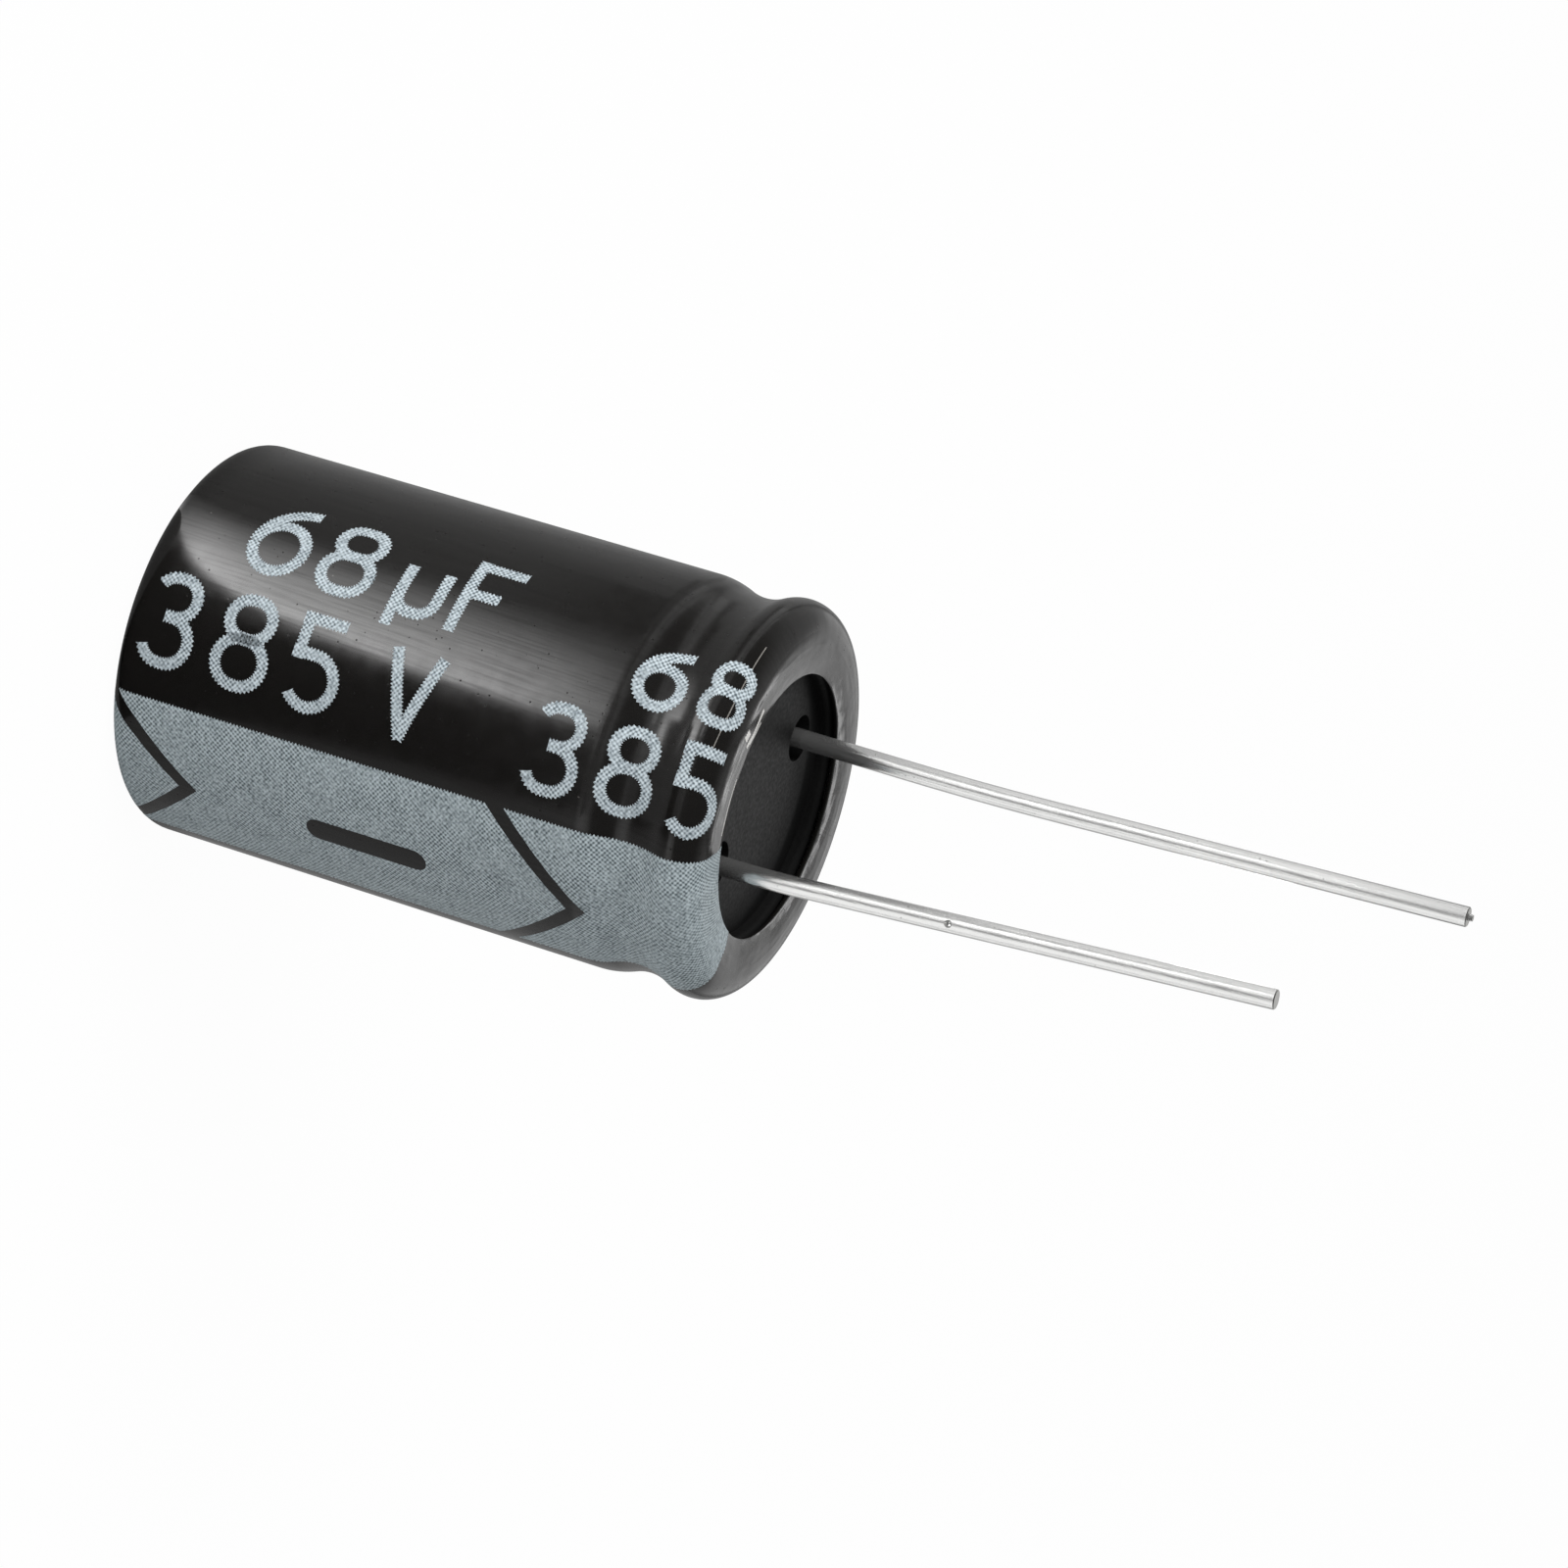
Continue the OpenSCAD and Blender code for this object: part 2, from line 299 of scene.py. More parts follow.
def stroke(start, heading_deg, moves, width=pen_w):
    """Ribbon of ink. A move is (length,) for a line, or (radius, degrees) for an arc to the left."""
    place = Vector((*start, 0))
    angle = math.radians(heading_deg)
    ahead = Vector((math.cos(angle), math.sin(angle), 0))
    bpy.ops.mesh.primitive_plane_add(size=width, location=place - ahead * width / 2,
                                     rotation=(0, 0, angle))
    ribbon = bpy.context.active_object
    bpy.ops.object.transform_apply(location=True, rotation=True)
    edit(ribbon)
    select_where(ribbon, lambda co: (co - place).dot(ahead) < -width / 2)
    bpy.ops.mesh.delete(type="VERT")
    bpy.ops.mesh.select_all(action="SELECT")
    for move in moves:
        if len(move) == 1:
            steps = max(1, round(2 * move[0] / screen_pitch))
            bpy.ops.mesh.extrude_repeat(steps=steps, offset=ahead * move[0] / steps, scale_offset=1)
            place = place + ahead * move[0]
        else:
            radius, turn = move[0], math.radians(move[1])
            steps = max(2, round(2 * radius * abs(turn) / screen_pitch))
            side = Vector((-ahead.y, ahead.x, 0)) * math.copysign(radius, turn)
            bpy.ops.mesh.spin(steps=steps, angle=-turn, center=place + side, axis=(0, 0, 1))
            turned = Matrix.Rotation(turn, 3, "Z")
            place = place + side - turned @ side
            ahead = turned @ ahead
    saw_edges(ribbon, min(tooth, width / 6))
    bpy.ops.mesh.select_all(action="SELECT")
    bpy.ops.mesh.remove_doubles(threshold=0.001)
    done()
    apply_modifier(ribbon, "SOLIDIFY", thickness=1, offset=1)
    edit(ribbon)
    bpy.ops.mesh.normals_make_consistent(inside=False)
    done()
    return ribbon


# %% [markdown]
# The figures are plain strokes in the manner of a technical stencil. Each one is described in a box of
# its own by the middle line of the pen, with w and h as the box's sides, and returns a list of strokes.
# The numbers are generic, as on a dial.

# %% Plain figures as pen strokes
def loop_moves(wide, high):
    """Closed oval from the middle of its foot, as (length,) and (radius, degrees)."""
    radius = min(wide, high) / 2
    flat, rise = wide / 2 - radius, high - 2 * radius
    moves = [(flat,), (radius, 90), (rise,), (radius, 90), (2 * flat,), (radius, 90), (rise,),
             (radius, 90), (flat,)]
    return [move for move in moves if move[0] > 0.01]


def six(w, h):
    return [((h - w / 2, h), 180, [(h - w / 2, 90), (w / 2, 360)])]


def eight(w, h):
    waist = 0.54 * h
    return [((w / 2, 0), 0, loop_moves(w, waist)), ((w / 2, waist), 0, loop_moves(0.88 * w, h - waist))]


def three(w, h):
    waist = 0.54 * h
    low, top = waist / 2, (h - waist) / 2
    hook = 0.85 * low
    hook_high = hook * (1 - math.cos(math.radians(75)))
    hook_wide = hook * math.sin(math.radians(75))
    tail_wide = top * math.sin(math.radians(60))
    return [
        ((0, hook_high), 285, [(hook, 75), (w - low - hook_wide,), (low, 180), (0.66 * w - low,)]),
        ((w / 3, waist), 0, [(0.61 * w - top,), (top, 180), (0.88 * w - top - tail_wide,), (top, 60)]),
    ]


def five(w, h):
    bowl = 0.3 * h
    stem = 0.12 * w
    return [
        ((0.92 * w, h), 180, [(0.8 * w + pen_w / 2,)]),
        ((stem, h), 270, [(h - 2 * bowl + pen_w / 2,)]),
        ((stem - pen_w / 2, 2 * bowl), 0, [(w - bowl - stem + pen_w / 2,), (bowl, -180),
                                           (w - 2 * bowl,), (bowl, -55)]),
    ]


def letter_f(w, h):
    return [((0, -pen_w / 2), 90, [(h + pen_w,)]), ((0, h), 0, [(w + pen_w / 2,)]),
            ((0, 0.52 * h), 0, [(0.85 * w,)])]


def letter_v(w, h):
    slope = math.degrees(math.atan2(h, w / 2))
    arm = math.hypot(h, w / 2) + pen_w / 4
    return [((0, h), -slope, [(arm,)]), ((w, h), 180 + slope, [(arm,)])]


def micro(w, h):
    bend = 0.42 * w
    return [((0, h + pen_w / 2), 270, [(1.42 * h + pen_w / 2,)]),
            ((0, bend), 270, [(bend, 90), (w - 2 * bend,), (bend, 90), (h - bend + pen_w / 2,)])]


# %% Join strokes into one solid
def fuse(pieces, name, operation="UNION"):
    """Combine flat solids one after another with exact Booleans."""
    base = pieces[0]
    for other in pieces[1:]:
        apply_modifier(base, "BOOLEAN", object=other, operation=operation, solver="EXACT")
        bpy.data.objects.remove(other)
    base.name = name
    return base


def write(name, figures):
    """Write figures, each as (shape, left, foot, width, height) in millimetres of the flat sheet."""
    written = []
    for shape, left, foot, wide, high in figures:
        strokes = []
        for start, heading, moves in shape(wide - pen_w, high - pen_w):
            place = (left + pen_w / 2 + start[0], foot + pen_w / 2 + start[1])
            strokes.append(stroke(place, heading, moves))
        written.append(fuse(strokes, name))
    bpy.ops.object.select_all(action="DESELECT")
    for piece in written:
        piece.select_set(True)
    bpy.context.view_layer.objects.active = written[0]
    bpy.ops.object.join()
    return bpy.context.active_object


upper_line = write("print_upper_line", [
    (six, 3.9, 9.99, 2.75, 3.65), (eight, 7.1, 9.99, 2.6, 3.65),
    (micro, 10.6, 9.99, 2.2, 2.4), (letter_f, 13.2, 9.99, 2.2, 3.65)])
lower_line = write("print_lower_line", [
    (three, 0.95, 5.14, 2.5, 4.05), (eight, 4.2, 5.14, 2.65, 4.05),
    (five, 7.4, 5.14, 2.6, 4.05), (letter_v, 11.6, 5.14, 2.6, 3.95)])
small_figures = write("print_small_figures", [
    (six, 21.35, 9.3, 2.3, 3.1), (eight, 24.3, 9.3, 2.2, 3.1),
    (three, 18.2, 4.79, 2.45, 3.85), (eight, 21.3, 4.79, 2.45, 3.85), (five, 24.4, 4.79, 2.4, 3.85)])

# %% [markdown]
# The stripe marks the cathode's side. It is a field of ink that runs from fold to fold, with a row of
# chevrons that point to the leads and a minus bar left open in it, where the black film shows. So it
# is one wide stroke of the pen, and prisms of the chevrons and the bar are cut out of it.

# %% The stripe and its marks
stripe_low, stripe_high = -3.72, 3.92
mark_y = 0.12
chevron_tips = (4.1, 21.5)
chevron_w = 0.82
chevron_slope = 0.97
bar_left, bar_right, bar_w = 9.13, 14.51, 1.07
cut_depth = 3
reach = 5

stripe = stroke((sheet_foot, (stripe_low + stripe_high) / 2), 0, [(sheet_top - sheet_foot,)],
                stripe_high - stripe_low)


def cut_prism(obj):
    """Give a flat outline depth, so that it passes right through the ink."""
    apply_modifier(obj, "SOLIDIFY", thickness=cut_depth, offset=0)
    edit(obj)
    bpy.ops.mesh.normals_make_consistent(inside=False)
    done()
    return obj


def chevron(tip):
    """Angle of two arms: an edge on the upper arm is extruded to the tip and on to the lower arm."""
    back = chevron_slope * reach
    bpy.ops.mesh.primitive_plane_add(size=chevron_w, rotation=(0, 0, math.pi / 2),
                                     location=(tip - chevron_w / 2 - back, mark_y + reach, 0))
    angle = bpy.context.active_object
    bpy.ops.object.transform_apply(location=True, rotation=True)
    edit(angle)
    select_where(angle, lambda co: co.y > mark_y + reach)
    bpy.ops.mesh.delete(type="VERT")
    bpy.ops.mesh.select_all(action="SELECT")
    bpy.ops.transform.translate(value=(0, chevron_w / 2, 0))
    for move in ((back, -reach, 0), (-back, -reach, 0)):
        bpy.ops.mesh.extrude_region_move(TRANSFORM_OT_translate={"value": move})
    done()
    return cut_prism(angle)


def minus_bar():
    """Slot with round ends: a plane whose corners are bevelled until they meet."""
    bpy.ops.mesh.primitive_plane_add(size=1, location=((bar_left + bar_right) / 2, mark_y, 0))
    bar = bpy.context.active_object
    bar.scale = (bar_right - bar_left, bar_w, 1)
    bpy.ops.object.transform_apply(location=True, scale=True)
    edit(bar)
    bpy.ops.mesh.bevel(offset=0.49 * bar_w, offset_type="OFFSET", segments=10, affect="VERTICES")
    done()
    return cut_prism(bar)


stripe = fuse([stripe, minus_bar()] + [chevron(tip) for tip in chevron_tips], "print_stripe",
              "DIFFERENCE")

# %% [markdown]
# The film has a few creases by the mouth, where it was stretched as it shrank, and the plastic has
# turned pale along most of them. The long thin one is a crease with a painted highlight: a grey line
# that stands in for the light on its ridge. They are thin strokes on the same flat sheet, and they lie
# lower than the ink, so a figure covers them.

# %% Creases by the mouth
crease_w = 0.05
creases = [
    stroke((25.73, 13.7), 271, [(1.9,), (40, -4), (0.6,)], crease_w),
    stroke((27.66, 11.85), 282, [(0.75,), (3, -20), (0.5,)], 5 * crease_w),
    stroke((28.08, 11.4), 272, [(0.5,), (2, -12), (0.6,)], 3 * crease_w),
    stroke((27.4, 10.25), 262, [(0.5,)], 8 * crease_w),
    stroke((28.08, 7.9), 270, [(3.2,)], 2 * crease_w),
]
for number, piece in enumerate(creases):
    piece.name = f"film_crease_{number + 1}"

# %% [markdown]
# A flat sheet only bends where it has edges. Before the ink is laid on the can, it is sliced across
# its width everywhere, and along its length where the film curves. Then each vertex moves to the
# place on the film that its flat place stands for, a few microns proud of it.

# %% Lay the ink on the film
ink_lift = 0.004
ink_t = 0.012
crease_lift = 0.002
crease_t = 0.006
slice_round = 0.3
slice_along = 0.12


def slices(low, high, pitch):
    """Values strictly between low and high at an even pitch."""
    first = math.floor(low / pitch) + 1
    return [i * pitch for i in range(first, math.ceil(high / pitch))]


def bend_cuts(obj, axis, values):
    normal = [float(axis == i) for i in range(3)]
    for value in values:
        bpy.ops.mesh.select_all(action="SELECT")
        bpy.ops.mesh.bisect(plane_co=[value * n for n in normal], plane_no=normal, threshold=1e-5)


def lay(obj, lift=ink_lift, thick=ink_t):
    """Slice a flat piece of ink, map it and wrap it on the film."""
    low = Vector(min(v.co[i] for v in obj.data.vertices) for i in range(3))
    high = Vector(max(v.co[i] for v in obj.data.vertices) for i in range(3))
    edit(obj)
    bend_cuts(obj, 1, slices(low.y, high.y, slice_round))
    bend_cuts(obj, 0, slices(low.x, min(high.x, corner_r), slice_along))
    bend_cuts(obj, 0, slices(max(low.x, shoulder_z), high.x, slice_along))
    done()
    layer = obj.data.uv_layers.active or obj.data.uv_layers.new(name="film")
    layer.name = "film"
    for loop in obj.data.loops:
        flat = obj.data.vertices[loop.vertex_index].co
        layer.data[loop.index].uv = (-flat.y, flat.x)
    for vert in obj.data.vertices:
        run, across, layer_up = vert.co
        on_film, out = film_at(run)
        place = on_film + out * (lift + thick * layer_up)
        turn = -across / film_r
        vert.co = (place.x * math.cos(turn), place.x * math.sin(turn), place.y)
    edit(obj)
    bpy.ops.mesh.normals_make_consistent(inside=False)
    done()
    finish_piece(obj)


figures = [upper_line, lower_line, small_figures]
for piece in figures + [stripe]:
    lay(piece)
for piece in creases:
    lay(piece, crease_lift, crease_t)

# %% [markdown]
# A lead is a length of tinned wire, welded to its terminal inside the bung. It starts straight, takes
# one gentle bend and runs on straight to the end where it was cut. A circle is extruded up through
# the weld and the root, spun round the centre of the bend and extruded to the tip. The bends are the
# ones in the CAD solids. The cutter left a burr on the longer lead, and the shorter one has a nick.

# %% Driving sizes of the leads
pitch = 7.5
wire_r = 0.4
weld_r = 0.6
weld_h = 0.3
boss_sink = 0.8
lean_dir = math.radians(220)
lead_sides = 48
root_steps, bend_steps, tail_steps = 12, 20, 40
cut_chamfer = 0.04


def lead(node, name, side, length, root, bend_r, lean_deg, burr):
    """Wire from its weld: root, bend and tail, with a chamfer and a burr on the cut end."""
    foot = node_box(node)[0].z
    lean = math.radians(lean_deg)
    toward = Vector((math.cos(lean_dir), math.sin(lean_dir), 0))
    across = toward.cross(Vector((0, 0, 1)))
    base = Vector((side * pitch / 2, 0, foot))
    bpy.ops.object.select_all(action="DESELECT")
    bpy.ops.mesh.primitive_circle_add(vertices=lead_sides, radius=weld_r, location=base)
    wire = bpy.context.active_object
    wire.name = name
    bpy.ops.object.transform_apply(location=True)
    edit(wire)
    bpy.ops.mesh.extrude_region_move(TRANSFORM_OT_translate={"value": (0, 0, weld_h)})
    bpy.ops.transform.resize(value=(wire_r / weld_r, wire_r / weld_r, 1), center_override=base)
    rise = boss_sink + root - weld_h
    bpy.ops.mesh.extrude_repeat(steps=root_steps, offset=(0, 0, rise / root_steps), scale_offset=1)
    top = base + Vector((0, 0, boss_sink + root))
    bpy.ops.mesh.spin(steps=bend_steps, angle=lean, center=top + toward * bend_r, axis=across)
    tail = length - root - bend_r * lean - cut_chamfer
    way = toward * math.sin(lean) + Vector((0, 0, math.cos(lean)))
    bpy.ops.mesh.extrude_repeat(steps=tail_steps, offset=way * tail / tail_steps, scale_offset=1)
    bpy.ops.mesh.edge_face_add()
    for step, share in [(cut_chamfer, 1 - cut_chamfer / wire_r)] + burr:
        bpy.ops.mesh.extrude_region_move(TRANSFORM_OT_translate={"value": way * step})
        bpy.ops.transform.resize(value=(share, share, share))
    done()
    return wire


def nick(wire, place, radius):
    """Dent a lead with a small ball."""
    bpy.ops.mesh.primitive_ico_sphere_add(subdivisions=3, radius=radius, location=place)
    ball = bpy.context.active_object
    apply_modifier(wire, "BOOLEAN", object=ball, operation="DIFFERENCE", solver="EXACT")
    bpy.data.objects.remove(ball)


anode = lead("anode_lead", "long_lead", side=-1, length=28.1, root=4.9, bend_r=165, lean_deg=2.3,
             burr=[(0, 0.42), (0.18, 0.8)])
cathode = lead("cathode_lead", "short_lead", side=1, length=23.05, root=0.5, bend_r=46, lean_deg=3.8,
               burr=[])
for wire, node in ((anode, "anode_lead"), (cathode, "cathode_lead")):
    foot, tip = node_box(node)
    drawn_tip = max(vert.co.z for vert in wire.data.vertices)
    print(f"{wire.name} reaches {drawn_tip:.3f}, and {node} in the CAD model {tip.z:.3f}")
    edit(wire)
    select_where(wire, lambda co: co.z < foot.z + 0.001)
    bpy.ops.mesh.edge_face_add()
    bpy.ops.mesh.select_all(action="SELECT")
    bpy.ops.mesh.normals_make_consistent(inside=False)
    done()
    if wire is cathode:
        nick(wire, place=(3.66, -0.6, 34.95), radius=0.16)
    finish_piece(wire, replaces=node)

# %% [markdown]
# Finishes share a few effects, so each effect is a node group that puts out a mask or a height. Specks
# are the dust and pits that any handled film has. Streaks are the fine lines that a drawing die leaves.
# The weave is what the screen's mesh leaves in printed ink.

# %% Tools for node trees
def group(name, inputs, outputs):
    """New shader node group with float and vector sockets, and its two end nodes."""
    tree = bpy.data.node_groups.new(name, "ShaderNodeTree")
    for label, kind, value in inputs:
        socket = tree.interface.new_socket(label, in_out="INPUT", socket_type="NodeSocket" + kind)
        if kind == "Float":
            socket.default_value = value
    for label in outputs:
        tree.interface.new_socket(label, in_out="OUTPUT", socket_type="NodeSocketFloat")
    return tree, tree.nodes.new("NodeGroupInput"), tree.nodes.new("NodeGroupOutput")


def add(tree, kind, inputs=None, **settings):
    """Add a node, set its properties, and fill or link its inputs by name or number."""
    node = tree.nodes.new("ShaderNode" + kind)
    for key, value in settings.items():
        setattr(node, key, value)
    for key, value in (inputs or {}).items():
        if isinstance(value, bpy.types.NodeSocket):
            tree.links.new(value, node.inputs[key])
        else:
            node.inputs[key].default_value = value
    return node


def sums(tree, operation, first, second=0.0, third=None):
    """Math node, as its output socket."""
    inputs = {0: first, 1: second}
    if third is not None:
        inputs[2] = third
    return add(tree, "Math", inputs, operation=operation).outputs[0]


def ramp(tree, value, low, high, out_low=0.0, out_high=1.0):
    """Value spread from one range to another, clamped."""
    inputs = {"Value": value, "From Min": low, "From Max": high, "To Min": out_low, "To Max": out_high}
    return add(tree, "MapRange", inputs).outputs["Result"]


def scaled(tree, vector, scale, turn_deg=0):
    """Mapping node that turns a pattern and then scales it."""
    inputs = {"Vector": vector, "Rotation": (0, 0, math.radians(turn_deg)), "Scale": scale}
    return add(tree, "Mapping", inputs).outputs["Vector"]


def object_mm(tree):
    """Object coordinates in millimetres."""
    return scaled(tree, add(tree, "TexCoord").outputs["Object"], (1 / MM, 1 / MM, 1 / MM))


# %% Specks: small round marks, thinly sown
specks, come_in, go_out = group("Specks", [("Vector", "Vector", None), ("Per mm", "Float", 1.0),
                                           ("Size", "Float", 0.1), ("Share", "Float", 0.3)], ["Mask"])
cells = add(specks, "TexVoronoi", {"Vector": come_in.outputs["Vector"],
                                   "Scale": come_in.outputs["Per mm"]})
lit = sums(specks, "LESS_THAN", add(specks, "SeparateXYZ", {0: cells.outputs["Color"]}).outputs[0],
           come_in.outputs["Share"])
inner = sums(specks, "MULTIPLY", come_in.outputs["Size"], 0.4)
dot = add(specks, "MapRange", {"Value": cells.outputs["Distance"], "From Min": come_in.outputs["Size"],
                               "From Max": inner}).outputs["Result"]
specks.links.new(sums(specks, "MULTIPLY", dot, lit), go_out.inputs["Mask"])

# %% Streaks: fine lines along one direction
streaks, come_in, go_out = group("Streaks", [("Vector", "Vector", None), ("Fine", "Float", 8.0),
                                             ("Long", "Float", 0.3)], ["Height"])
stretch = add(streaks, "CombineXYZ", {"X": come_in.outputs["Fine"], "Y": come_in.outputs["Long"],
                                      "Z": come_in.outputs["Fine"]})
drawn = add(streaks, "VectorMath", {0: come_in.outputs["Vector"], 1: stretch.outputs[0]},
            operation="MULTIPLY")
lines = add(streaks, "TexNoise", {"Vector": drawn.outputs[0], "Scale": 1.0, "Detail": 5.0,
                                  "Roughness": 0.65})
streaks.links.new(lines.outputs["Fac"], go_out.inputs["Height"])

# %% Weave: the crossed threads of the printing screen, stronger in some patches than in others
weave, come_in, go_out = group("Screen weave", [("Vector", "Vector", None), ("Pitch", "Float", 0.147)],
                               ["Threads"])
apart = add(weave, "SeparateXYZ", {0: scaled(weave, come_in.outputs["Vector"], (1, 1, 1), 38)})
turns = sums(weave, "DIVIDE", 2 * math.pi, come_in.outputs["Pitch"])
waves = [sums(weave, "SINE", sums(weave, "MULTIPLY", apart.outputs[i], turns)) for i in (0, 1)]
crossed = sums(weave, "ADD", waves[0], waves[1])
patch = add(weave, "TexNoise", {"Vector": come_in.outputs["Vector"], "Scale": 0.45, "Detail": 2.0})
strength = ramp(weave, patch.outputs["Fac"], 0.4, 0.62, 0.35, 0.9)
threads = sums(weave, "MULTIPLY_ADD", crossed, sums(weave, "MULTIPLY", strength, 0.5), 0.5)
weave.links.new(threads, go_out.inputs["Threads"])


# %% [markdown]
# Each material keeps its Principled shader in its own tree, sets whatever is the same all over on the
# shader's own sockets, and links only what changes over the surface.

# %% Tools for materials
def material(name, fixed):
    """New material whose Principled sockets hold these values, with its tree and its shader."""
    made = bpy.data.materials.new(name)
    made.use_nodes = True
    shader = made.node_tree.nodes["Principled BSDF"]
    for label, value in fixed.items():
        shader.inputs[label].default_value = value
    return made, made.node_tree, shader


def use(tree, shared, inputs):
    """Place a shared group in a tree with its own values."""
    return add(tree, "Group", inputs, node_tree=shared)


def bump(tree, shader, layers):
    """Stack bumps on a shader, each as (height socket, depth in millimetres, strength)."""
    under = None
    for height, depth, strength in layers:
        inputs = {"Height": height, "Distance": depth * MM, "Strength": strength}
        if under:
            inputs["Normal"] = under
        under = add(tree, "Bump", inputs).outputs["Normal"]
    tree.links.new(under, shader.inputs["Normal"])


def tint(tree, factor, first, second):
    """Mix of two colours, as the output socket."""
    mixed = add(tree, "Mix", data_type="RGBA")
    tree.links.new(factor, mixed.inputs[0])
    for place, colour in ((6, first), (7, second)):
        if isinstance(colour, bpy.types.NodeSocket):
            tree.links.new(colour, mixed.inputs[place])
        else:
            mixed.inputs[place].default_value = (*colour, 1)
    return mixed.outputs[2]


def dress(obj, made):
    """Give every material slot of an object this one material."""
    if not obj.data.materials:
        obj.data.materials.append(made)
    for slot in obj.material_slots:
        slot.material = made
    print(obj.name, "is finished in", made.name)


# %% [markdown]
# The film is glossy black plastic, a little warm in tone. Heat leaves it gently wavy along the can and
# puckered where it folds over the mouth. It has fine pits and dust, and its gloss changes softly from
# patch to patch.

# %% Shrink film
film_black = (0.0075, 0.007, 0.0065)
dust_grey = (0.07, 0.068, 0.064)
film_look, tree, shader = material("Shrink film", {})
on_sheet = add(tree, "UVMap", uv_map="film").outputs["UV"]
pits = use(tree, specks, {"Vector": on_sheet, "Per mm": 3.0, "Size": 0.15, "Share": 0.4}).outputs[0]
along_can = scaled(tree, on_sheet, (1, 1, 1), 2)
rubs = use(tree, streaks, {"Vector": along_can, "Fine": 10.0, "Long": 0.22}).outputs[0]
dust = use(tree, specks, {"Vector": scaled(tree, on_sheet, (1.7, 0.9, 1), 20), "Per mm": 1.0,
                          "Size": 0.06, "Share": 0.25}).outputs[0]
tree.links.new(tint(tree, dust, film_black, dust_grey), shader.inputs["Base Color"])
mottle = add(tree, "TexNoise", {"Vector": on_sheet, "Scale": 1.4, "Detail": 4.0}).outputs["Fac"]
gloss = ramp(tree, mottle, 0.35, 0.65, 0.17, 0.23)
rubbed = ramp(tree, rubs, 0.45, 0.72)
dull = sums(tree, "MAXIMUM", pits, sums(tree, "MULTIPLY", rubbed, 0.5))
tree.links.new(sums(tree, "MULTIPLY_ADD", pits, 0.2, gloss), shader.inputs["Roughness"])
tree.links.new(ramp(tree, dull, 0.0, 1.0, 0.5, 0.12), shader.inputs["Specular IOR Level"])
wavy = add(tree, "TexNoise", {"Vector": scaled(tree, on_sheet, (0.4, 0.12, 1)), "Scale": 1.0,
                              "Detail": 2.0}).outputs["Fac"]
run_here = add(tree, "SeparateXYZ", {0: on_sheet}).outputs[1]
folded = ramp(tree, run_here, land_start - 0.3, land_start + 0.3)
puckers = add(tree, "TexNoise", {"Vector": scaled(tree, on_sheet, (0.3, 0.9, 1), 25), "Scale": 1.0,
                                 "Detail": 2.0}).outputs["Fac"]
bump(tree, shader, [(wavy, 0.06, 0.5), (sums(tree, "MULTIPLY", folded, puckers), 0.1, 0.9),
                    (sums(tree, "SUBTRACT", 1.0, pits), 0.004, 0.5)])
dress(film, film_look)

# %% [markdown]
# The ink is pale blue-grey and matt. It lies in the pattern of the screen's threads, so its colour
# rises and falls on a fine slanting grid, and it has the odd pinhole. The stripe is the same ink with
# a darker tone, as painted shade for its side of the can, which faces away from the lamp.

# %% Printing ink
def ink(name, pale, deep):
    """Matt ink between two tones, in the pattern of the screen."""
    made, tree, shader = material(name, {"Roughness": 0.5, "Specular IOR Level": 0.12})
    on_sheet = add(tree, "UVMap", uv_map="film").outputs["UV"]
    threads = use(tree, weave, {"Vector": on_sheet, "Pitch": screen_pitch}).outputs[0]
    cloud = add(tree, "TexNoise", {"Vector": on_sheet, "Scale": 1.1, "Detail": 5.0}).outputs["Fac"]
    grain = add(tree, "TexNoise", {"Vector": on_sheet, "Scale": 7.0, "Detail": 2.0}).outputs["Fac"]
    holes = use(tree, specks, {"Vector": on_sheet, "Per mm": 1.9, "Size": 0.1, "Share": 0.1}).outputs[0]
    half_threads = sums(tree, "MULTIPLY", threads, 0.5)
    uneven = sums(tree, "MULTIPLY_ADD", ramp(tree, grain, 0.3, 0.7), 0.5, half_threads)
    fine_tone = sums(tree, "MULTIPLY", uneven, 0.96)
    body = sums(tree, "MULTIPLY_ADD", ramp(tree, cloud, 0.3, 0.7), 0.14, fine_tone)
    tone = tint(tree, ramp(tree, body, 0.2, 0.85), deep, pale)
    tree.links.new(tint(tree, holes, tone, (0.06, 0.07, 0.07)), shader.inputs["Base Color"])
    bump(tree, shader, [(uneven, 0.012, 0.6)])
    return made


figure_ink = ink("Figure ink", (0.56, 0.63, 0.67), (0.085, 0.11, 0.125))
# Painted shade: the stripe's copy of the ink is darker than the figures'.
stripe_ink_painted_shade = ink("Stripe ink with painted shade", (0.49, 0.56, 0.59), (0.09, 0.115, 0.125))
for piece in figures:
    dress(piece, figure_ink)
dress(stripe, stripe_ink_painted_shade)

pale_film, _, _ = material("Whitened film", {"Roughness": 0.35, "Base Color": (0.66, 0.65, 0.62, 1)})
# Painted highlight: the long crease is drawn lighter than the film, for the light on its ridge.
crease_painted_highlight, _, _ = material("Crease with painted highlight", {"Roughness": 0.35, "Base Color": (0.2, 0.19, 0.175, 1)})
dress(creases[0], crease_painted_highlight)
for piece in creases[1:]:
    dress(piece, pale_film)

# %% [markdown]
# Bright tin over the wire mirrors the room in long streaks, because the wire was drawn through a die.
# Object coordinates serve here: the streaks run along Z, which the wires follow closely.

